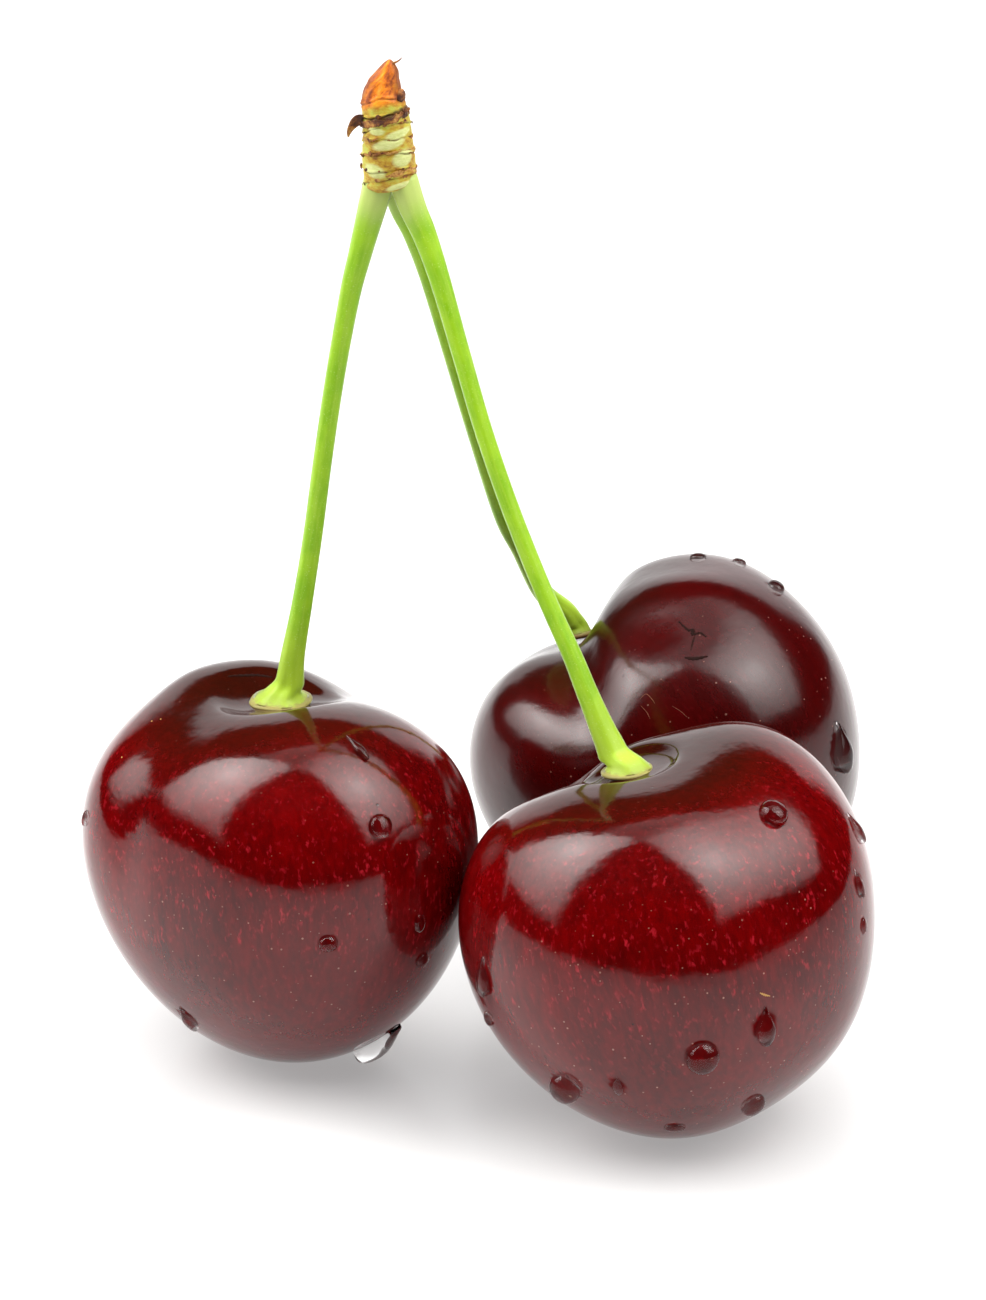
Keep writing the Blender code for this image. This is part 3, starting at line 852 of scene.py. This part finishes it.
scalePlans = {
    "bud_scale_low": {
        "seat": (0.80, 0.36, 0.42), "from": 262.0, "to": 392.0, "tall": 0.40, "lift": -0.05,
        "seed": 71, "tone": 0.62,
    },
    "bud_scale_mid": {
        "seat": (2.30, 0.20, 0.42), "from": 170.0, "to": 385.0, "tall": 0.15, "lift": -0.05,
        "seed": 72, "tone": 0.75,
    },
    "bud_scale_curled": {
        "seat": (4.62, 0.40, 0.12), "from": 165.0, "to": 385.0, "tall": 0.44, "lift": -0.02,
        "seed": 73, "tone": 0.24,
        # the free end: how far out to the left, height and width there
        "curl": ((-1.62, 4.50, 1.10), (-1.86, 4.52, 1.02), (-2.08, 4.40, 0.84), (-2.28, 4.16, 0.62),
                 (-2.44, 3.90, 0.44), (-2.54, 3.62, 0.26), (-2.58, 3.36, 0.08)),
    },
}


def scaleSection(middle, outward, upward, tall, thick, bow):
    # ten points round a thin bent strip's cross-section
    part = np.linspace(-0.5, 0.5, 5)
    inner = [middle + upward * tall * p + outward * (bow * (4 * p * p)) for p in part]
    outer = [point + outward * thick for point in inner]
    return np.array(inner + outer[::-1])


def makeScale(name, material):
    plan = scalePlans[name]
    steps = 90
    chance = np.random.default_rng(plan["seed"])
    sections = []
    curl = plan.get("curl", ())
    if curl:
        path = smoothRoute([np.array(p) for p in curl], 6)[::-1]
        for index, (out, high, tall) in enumerate(path):
            at = np.array(spurForm["foot"]) + np.array([out, -0.25 - 0.05 * index / len(path), high])
            last, following = nearby(path, index)
            way = following - last
            tangent = unit((way[0], 0.0, way[1]))
            outward = np.array([-tangent[2], 0.0, tangent[0]])
            tilt = unit(np.array([0.0, -0.45, 0.0]) + 0.85 * outward)
            sections.append(scaleSection(at, np.cross(tangent, tilt), tilt, tall, 0.06, 0.05))
    for index in range(steps + 1):
        part = index / steps
        around = math.radians(plan["from"] + (plan["to"] - plan["from"]) * part)
        base, right, front = plan["seat"]
        height = base + right * math.cos(around) + front * max(-math.sin(around), 0.0)
        toEnd = 1.0 - part if curl else min(part, 1.0 - part)
        narrow = min(1.0, 0.15 + 5.0 * toEnd)
        torn = 1.0 + 0.30 * ripple(np.array(around * 5.0), plan["seed"]) + 0.12 * chance.normal()
        tall = max(plan["tall"] * narrow * torn, 0.06)
        height += 0.06 * ripple(np.array(around * 4.0), plan["seed"] + 5) + 0.015 * chance.normal()
        radius = float(spurMiddle(height)[0]) + plan["lift"] + 0.02 * math.sin(9 * around)
        at = spurPoint(np.array(height), np.array(around), np.array(radius))
        outward = np.array([math.cos(around), math.sin(around), 0.0])
        sections.append(scaleSection(at, outward, unit(up + 0.12 * outward), tall, 0.07, 0.06))
    finish(tonedPiece(name.replace("bud_", "dry_"), sections, plan["tone"]), "dry_scale", material, name)


def scaleMaterial():
    paint = Paint("dry scale")
    spot = paint.node("ShaderNodeTexCoord")["Object"]
    coarse = paint.noise(spot, 900.0, 3.0, 0.6)["Fac"]
    fine = paint.noise(spot, 4200.0, 3.0, 0.65)["Fac"]
    tone = paint.attribute("tone")["Fac"]
    color = paint.ramp(coarse + (fine - 0.5) * 0.5 + (tone - 0.25) * 0.32, (
        (0.30, (0.034, 0.009, 0.004)), (0.44, (0.125, 0.034, 0.010)), (0.57, (0.36, 0.130, 0.022)),
        (0.70, (0.60, 0.340, 0.080)),
    ))
    normal = paint.bump(fine, 0.7, 0.0001)
    return paint.principled({"Base Color": color, "Roughness": 0.55 + fine * 0.25, "Normal": normal})


flakeForm = {"wide": 0.34, "tall": 0.26, "thick": 0.03, "lift": 0.05, "count": 1.2e7, "seed": 5, "steps": 6}


def makeFlakes(spur, material):
    # little papery scraps left along the creases
    form = flakeForm
    part = np.linspace(-0.5, 0.5, form["steps"])
    rings = []
    for v in part:
        x = part * form["wide"] * (1.0 - 1.2 * v * v)
        bow = form["lift"] * (part * part * 2.0 + (v + 0.5) ** 2)
        low = np.stack([x, np.full_like(x, v * form["tall"]), bow], -1)
        rings.append(np.concatenate([low, (low + np.array([0.0, 0.0, form["thick"]]))[::-1]]))
    scrap = tonedPiece("scrap", np.array(rings) / mm, 0.3)
    flow = Flow("scraps on bark", {
        "Scrap": "NodeSocketObject", "Density": "NodeSocketFloat", "Seed": "NodeSocketInt",
    })
    amount = flow.named("rough").step(0.25, 1.1) * (1.0 - flow.named("torn")) * flow.given["Density"]
    spread = flow.node("GeometryNodeDistributePointsOnFaces", {"distribute_method": "RANDOM"}, {
        "Mesh": flow.given["Geometry"], "Density": amount, "Seed": flow.given["Seed"],
    })
    twist = flow.node("FunctionNodeRandomValue", {"data_type": "FLOAT_VECTOR"}, {
        0: (-0.5, -0.4, -1.2), 1: (0.3, 0.4, 1.2), "Seed": flow.given["Seed"],
    })["Value"]
    size = flow.node("FunctionNodeRandomValue", {"data_type": "FLOAT"}, {
        2: 0.0004, 3: 0.0012, "Seed": flow.given["Seed"],
    })
    turned = flow.node("FunctionNodeRotateRotation", {"rotation_space": "LOCAL"}, {
        "Rotation": spread["Rotation"], "Rotate By": flow.turned(twist),
    })["Rotation"]
    shape = flow.shapeOf(flow.given["Scrap"])
    placed = flow.node("GeometryNodeInstanceOnPoints", None, {
        "Points": spread["Points"], "Instance": shape, "Rotation": turned, "Scale": size.output(1),
    })
    flow.close(placed["Instances"], material)
    piece = flow.run("bark_scraps", spur, {"Scrap": scrap, "Density": form["count"], "Seed": form["seed"]})
    bpy.data.objects.remove(scrap)
    print("scraps", len(piece.data.polygons))
    finish(piece, "dry_scale", material)


sideBud = {"place": (-4.86, -1.30, 64.86), "radius": 0.36, "tall": 0.44, "sides": 40, "rings": 26}
tipFibre = {
    "path": ((-5.45, -0.95, 66.78), (-5.25, -1.0, 66.92), (-5.05, -1.05, 67.02), (-4.86, -1.10, 67.16),
             (-4.72, -1.12, 67.32)),
    "radius": 0.11, "sides": 12,
}


def makeBud(material):
    plan = sideBud
    polar = np.linspace(0.0, math.pi, plan["rings"])[1:-1, None]
    angle = circle(plan["sides"])[None, :]
    lumps = 1.0 + 0.07 * np.sin(3 * angle + 4 * polar) + 0.05 * np.cos(5 * angle - 6 * polar)
    reach = plan["radius"] * np.sin(polar) ** 0.85 * lumps
    x, y = reach * np.cos(angle), reach * np.sin(angle)
    z = plan["tall"] * np.cos(polar) * (1.0 + 0.05 * np.sin(2 * angle)) + 0.0 * angle
    place = np.array(plan["place"])
    rings = np.stack([x + 0.12 * z, y, z], -1) + place
    poles = [place + np.array([0.12 * z1, 0.0, z1]) for z1 in (plan["tall"], -plan["tall"])]
    tone = -0.12 + 0.0 * (angle + polar)
    finish(gridObject("dormant_bud", rings, {"tone": tone}, poles), "dry_scale", material, "side_bud")


def makeFibre(material):
    plan = tipFibre
    route = smoothRoute([np.array(point) for point in plan["path"]], 6)
    rings = []
    for index, at in enumerate(route):
        part = index / (len(route) - 1)
        behind, ahead = nearby(route, index)
        along = unit(ahead - behind)
        side = unit(np.cross(along, (0.0, 1.0, 0.0)))
        front = np.cross(along, side)
        reach = plan["radius"] * (1.0 - 0.75 * part)
        rings.append(oval(at, side, front, circle(plan["sides"]), reach, reach * 0.6))
    finish(tonedPiece("tip_fibre", rings, 0.1), "dry_scale", material)


# ---- water drops

dropForm = {"rings": 26, "sides": 48, "skirt": 0.16}
# fruit, place from the stalk and round it in degrees, then width, length and height in millimetres;
# the places were worked out outside this script
dropPlans = {
    "round": (
        ("cherry_left", 62.9, 178.9, 1.50, 1.60, 0.62), ("cherry_left", 95.9, 160.4, 1.25, 1.10, 0.50),
        ("cherry_left", 95.0, 189.8, 0.85, 1.30, 0.32), ("cherry_left", 108.0, 194.3, 0.95, 1.00, 0.34),
        ("cherry_front", 52.3, 316.2, 1.75, 2.00, 0.78), ("cherry_front", 113.5, 266.5, 2.15, 2.15, 1.00),
        ("cherry_front", 118.7, 216.2, 2.15, 2.20, 1.00), ("cherry_front", 142.9, 285.4, 1.55, 1.80, 0.62),
        ("cherry_front", 95.9, 333.0, 0.70, 1.05, 0.20), ("cherry_front", 97.9, 193.5, 0.70, 1.10, 0.32),
        ("cherry_front", 141.5, 246.7, 1.30, 0.80, 0.26), ("cherry_back", 67.5, 357.2, 1.50, 1.20, 0.50),
        ("cherry_back", 40.6, 5.9, 1.10, 0.90, 0.32), ("cherry_back", 52.8, 9.5, 1.00, 0.90, 0.32),
        ("cherry_left", 70.3, 65.9, 0.55, 1.10, 0.28),
    ),
    "tear": (
        ("cherry_front", 110.7, 287.4, 1.40, 2.70, 0.72), ("cherry_back", 117.8, 337.0, 1.80, 3.70, 0.80),
        ("cherry_front", 72.1, 347.5, 1.10, 2.30, 0.36), ("cherry_front", 83.9, 333.3, 0.80, 2.00, 0.25),
        ("cherry_front", 83.9, 201.2, 1.30, 2.80, 0.50), ("cherry_left", 40.1, 182.2, 0.70, 2.30, 0.34),
        ("cherry_front", 118.4, 237.8, 0.75, 1.70, 0.20), ("cherry_left", 131.3, 96.5, 1.10, 2.60, 0.42),
    ),
    "hanging": (
        ("cherry_left", 148.4, 212.0, 3.00, 4.30, 1.15),
    ),
}


def dropRings(kind):
    # a dome one across and one tall on a short skirt; -Y is downhill
    form = dropForm
    part = np.linspace(0.0, 1.0, form["rings"])[1:, None]
    angle = circle(form["sides"])[None, :]
    out = np.sin(part * math.pi / 2.0) ** 0.94
    rise = np.cos(part * math.pi / 2.0) ** 0.78
    x = 0.5 * out * np.cos(angle)
    y = 0.5 * out * np.sin(angle)
    sag = {"round": 0.10, "tear": 0.16, "hanging": 0.20}[kind]
    y = y - sag * (rise ** 1.2) * (1.0 - out * 0.3)
    if kind != "round":
        taper = ease(y, -0.15, 0.5)
        x = x * (1.0 - (0.78 if kind == "tear" else 0.45) * taper)
        rise = rise * (1.0 - 0.55 * taper)
    else:
        x = x * (1.0 + 0.05 * np.sin(2 * angle + 0.6))
    dome = np.stack([x, y, rise + 0.0 * angle], -1)
    edge = dome[-1:]
    skirt = edge * np.array([1.0, 1.0, 0.0]) + np.array([0.0, 0.0, -form["skirt"]])
    return np.concatenate([dome, skirt])


def dropFlow(material):
    flow = Flow("drops on fruit", {"Form": "NodeSocketObject"})
    points = flow.node("GeometryNodeMeshToPoints", None, {"Mesh": flow.given["Geometry"]})["Points"]
    placed = flow.node("GeometryNodeInstanceOnPoints", None, {
        "Points": points, "Instance": flow.shapeOf(flow.given["Form"]),
        "Rotation": flow.turned(flow.named("turn", "FLOAT_VECTOR")),
        "Scale": flow.named("size", "FLOAT_VECTOR"),
    })
    flow.close(placed["Instances"], material)
    return flow


def surfaceSpot(fruit, polar, around):
    # a place on a fruit, and its outward and downhill directions
    turn, middle = fruitFrames[fruit]
    plan = fruitPlans[fruit]
    tiny = 0.02
    at, byPolar, byAround = (
        turn @ skinPoint(plan, np.array(polar + a), np.array(around + b)) + middle
        for a, b in ((0.0, 0.0), (tiny, 0.0), (0.0, tiny))
    )
    outward = unit(np.cross(byPolar - at, byAround - at))
    if outward @ (at - middle) < 0.0:
        outward = -outward
    uphill = unit(up - outward * (up @ outward))
    return at, outward, uphill


def makeDrops(material):
    flow = dropFlow(material)
    for kind, plans in dropPlans.items():
        form = gridObject("drop_form_" + kind, dropRings(kind) / mm, {})
        spots, turns, sizes = [], [], []
        for fruit, polar, around, wide, long, tall in plans:
            at, outward, uphill = surfaceSpot(fruit, math.radians(polar), math.radians(around))
            across = np.cross(uphill, outward)
            axes = Matrix((across, uphill, outward)).transposed()
            spots.append(tuple(at * mm))
            turns.extend(axes.to_euler())
            sizes.extend((wide * mm, long * mm, tall * mm))
        mesh = newMesh("drop_spots", spots, [], {"turn": turns, "size": sizes})
        source = bpy.data.objects.new("drop_spots", mesh)
        piece = flow.run("water_" + kind, source, {"Form": form})
        bpy.data.objects.remove(source)
        bpy.data.objects.remove(form)
        finish(piece, "water", material)


def waterMaterial():
    paint = Paint("water")
    return paint.principled({
        "Base Color": (1.0, 1.0, 1.0, 1.0), "Roughness": 0.0, "IOR": 1.33, "Transmission Weight": 1.0,
    })


# ---- studio

studio = {
    "floorHalf": 700.0, "floorFront": -400.0, "floorBack": 1100.0, "floorColor": 0.52, "floorGlow": 0.34,
    "fadeFrom": -60.0, "fadeTo": -330.0,
    "boxDistance": 620.0, "boxGlow": 0.5, "broadGlow": 6.2, "broadWidth": 0.50, "hotGlow": 2.2,
    "hotWidth": 0.14, "softEdge": 0.07, "boxSteps": 40,
    "fillHigh": 900.0, "fillHalf": 800.0, "fillGlow": 2.8,
    "elevation": 23.0, "distance": 420.0, "focus": (1.0, -0.7, 26.7), "lens": 177.95,
    # a corner and a lamp's hottest place are directions; those of right and left come from a fit made
    # outside this script, with the left one's upper edge moved afterwards
    "softboxes": {
        "right": {
            "corners": (
                (0.627, -0.682, 0.376), (0.934, -0.026, 0.357), (0.436, 0.431, 0.79), (-0.12, -0.02, 0.993),
            ),
            "hot": (0.481, -0.177, 0.859), "power": 1.05,
        },
        "left": {
            "corners": (
                (-0.869, -0.425, 0.254), (-0.828, 0.50, 0.209), (-0.41, 0.20, 0.89), (-0.13, -0.02, 0.991),
            ),
            "hot": (-0.622, 0.054, 0.781), "power": 1.3,
        },
        # dim and clear, a little nearer than the other two, whose edges it overlaps
        "middle": {
            "corners": (
                (-0.12, -0.02, 0.993), (0.436, 0.431, 0.79), (0.02, 0.36, 0.93), (-0.41, 0.20, 0.89),
            ),
            "hot": (0.0, 0.91, 0.41), "power": 1.2, "nearer": 0.97,
        },
    },
}


def stageObject(mesh, material):
    mesh.materials.append(material)
    made = addObject(mesh.name, mesh)
    return made


def makeSoftbox(name, plan):
    # a glowing panel, brightest round its lamp
    paint = Paint("softbox " + name)
    place = paint.attribute("fromLamp")["Fac"]
    glow = place.bell(0.0, studio["hotWidth"]) * studio["hotGlow"] + studio["boxGlow"]
    glow = glow + place.bell(0.0, studio["broadWidth"]) * studio["broadGlow"]
    glow = glow * paint.attribute("inside")["Fac"]
    light = paint.node("ShaderNodeEmission", None, {"Color": (1.0, 0.985, 0.965, 1.0), "Strength": glow})
    shown = light["Emission"]
    nearer = plan.get("nearer", 1.0)
    if nearer < 1.0:
        shown = paint.node("ShaderNodeAddShader", None, {0: shown, 1: paint.clear()})["Shader"]
    a, b, c, d = (unit(corner) for corner in plan["corners"])
    hot = unit(plan["hot"])
    steps = studio["boxSteps"]
    soft = studio["softEdge"]
    points = []
    away = []
    inside = []
    for i in range(steps + 1):
        for j in range(steps + 1):
            s, t = ((1.0 + 2.0 * soft) * k / steps - soft for k in (i, j))
            inside.append(float(ease(min(s, t, 1.0 - s, 1.0 - t), -soft, soft)) * plan["power"])
            aim = unit((a * (1 - s) + b * s) * (1 - t) + (d * (1 - s) + c * s) * t)
            points.append(tuple(aim * studio["boxDistance"] * nearer * mm))
            away.append(np.linalg.norm(aim - hot))
    faces = []
    for i in range(steps):
        for j in range(steps):
            k = i * (steps + 1) + j
            faces.append((k, k + 1, k + steps + 2, k + steps + 1))
    mesh = newMesh("softbox_" + name, points, faces, {"fromLamp": away, "inside": inside})
    stageObject(mesh, paint.close(shown)).visible_camera = False


def makeFill():
    # a broad soft light from above that leaves no reflection
    half, high = studio["fillHalf"] * mm, studio["fillHigh"] * mm
    corners = [(-half, -half, high), (half, -half, high), (half, half, high), (-half, half, high)]
    paint = Paint("fill light")
    light = paint.node("ShaderNodeEmission", None, {"Strength": studio["fillGlow"]})
    panel = stageObject(newMesh("fill", corners, [(0, 3, 2, 1)], {}), paint.close(light["Emission"]))
    panel.visible_camera = False
    panel.visible_glossy = False
    panel.visible_transmission = False


def makeFloor():
    half, front, back = (studio[name] * mm for name in ("floorHalf", "floorFront", "floorBack"))
    corners = [(-half, front, 0), (half, front, 0), (half, back, 0), (-half, back, 0)]
    paint = Paint("white table")
    y = paint.parts(paint.node("ShaderNodeTexCoord")["Object"])[1]
    near = y.step(studio["fadeTo"] * mm, studio["fadeFrom"] * mm)
    white, glow = studio["floorColor"], studio["floorGlow"]
    table = paint.glossy({
        "Base Color": (white, white, white, 1.0), "Emission Color": (glow, glow, glow, 1.0),
        "Emission Strength": 1.0, "Roughness": 0.22, "IOR": 1.35,
    })
    # the pale table ends softly in front, where the fruits mirror the unlit room
    ended = paint.mixed(near, paint.clear(), table)
    stageObject(newMesh("floor", corners, [(0, 1, 2, 3)], {}), paint.close(ended))


def makeWorld():
    # white to the camera; for reflections, a pale backdrop behind and a dark room in front
    world = bpy.data.worlds.new("studio")
    bpy.context.scene.world = world
    world.use_nodes = True
    paint = Tree(world.node_tree)
    aim = paint.node("ShaderNodeTexCoord")["Generated"]
    split = paint.node("ShaderNodeSeparateXYZ", None, {"Vector": aim})
    x, y, z = split["X"], split["Y"], split["Z"]
    across = (x * x + y * y).math("SQRT").most(0.001)
    behind = (y / across).step(0.78, 0.88)
    low = (z / y.most(0.001)).step(0.66, 0.54)
    glow = behind * low * 1.15 + 0.006
    seen = paint.node("ShaderNodeLightPath")["Is Camera Ray"]
    strength = glow * (1.0 - seen) + seen
    shade = paint.node("ShaderNodeBackground", None, {"Color": (1.0, 1.0, 1.0, 1.0), "Strength": strength})
    paint.node("ShaderNodeOutputWorld", None, {"Surface": shade["Background"]})


def makeCamera():
    tilt = math.radians(studio["elevation"])
    camera = bpy.data.cameras.new("camera")
    camera.lens = studio["lens"]
    camera.sensor_width = 36.0
    camera.clip_start = 0.01
    eye = addObject("camera", camera)
    focus = Vector(studio["focus"]) * mm
    back = Vector((0.0, -math.cos(tilt), math.sin(tilt))) * studio["distance"] * mm
    eye.location = focus + back
    eye.rotation_euler = (math.pi / 2.0 - tilt, 0.0, 0.0)
    bpy.context.scene.camera = eye


def makeStudio():
    for name, plan in studio["softboxes"].items():
        makeSoftbox(name, plan)
    makeFill()
    makeFloor()
    makeWorld()
    makeCamera()
    bpy.context.scene.view_settings.view_transform = "Standard"


def build():
    skin = skinMaterial()
    for name in fruitPlans:
        makeFruit(name, skin)
        print("fruit", name)
    scar = scarMaterial()
    for index, plan in enumerate(scarPlans):
        makeScar(index, plan, scar)
    green = stalkMaterial()
    for name in stalkPlans:
        makeStalk(name, green)
        print("stalk", name)
    dry = scaleMaterial()
    spur = makeSpur(spurMaterial())
    makeFlakes(spur, dry)
    for name in scalePlans:
        makeScale(name, dry)
    makeBud(dry)
    makeFibre(dry)
    print("spur")
    makeDrops(waterMaterial())
    print("drops")
    makeStudio()
    print("studio")


build()
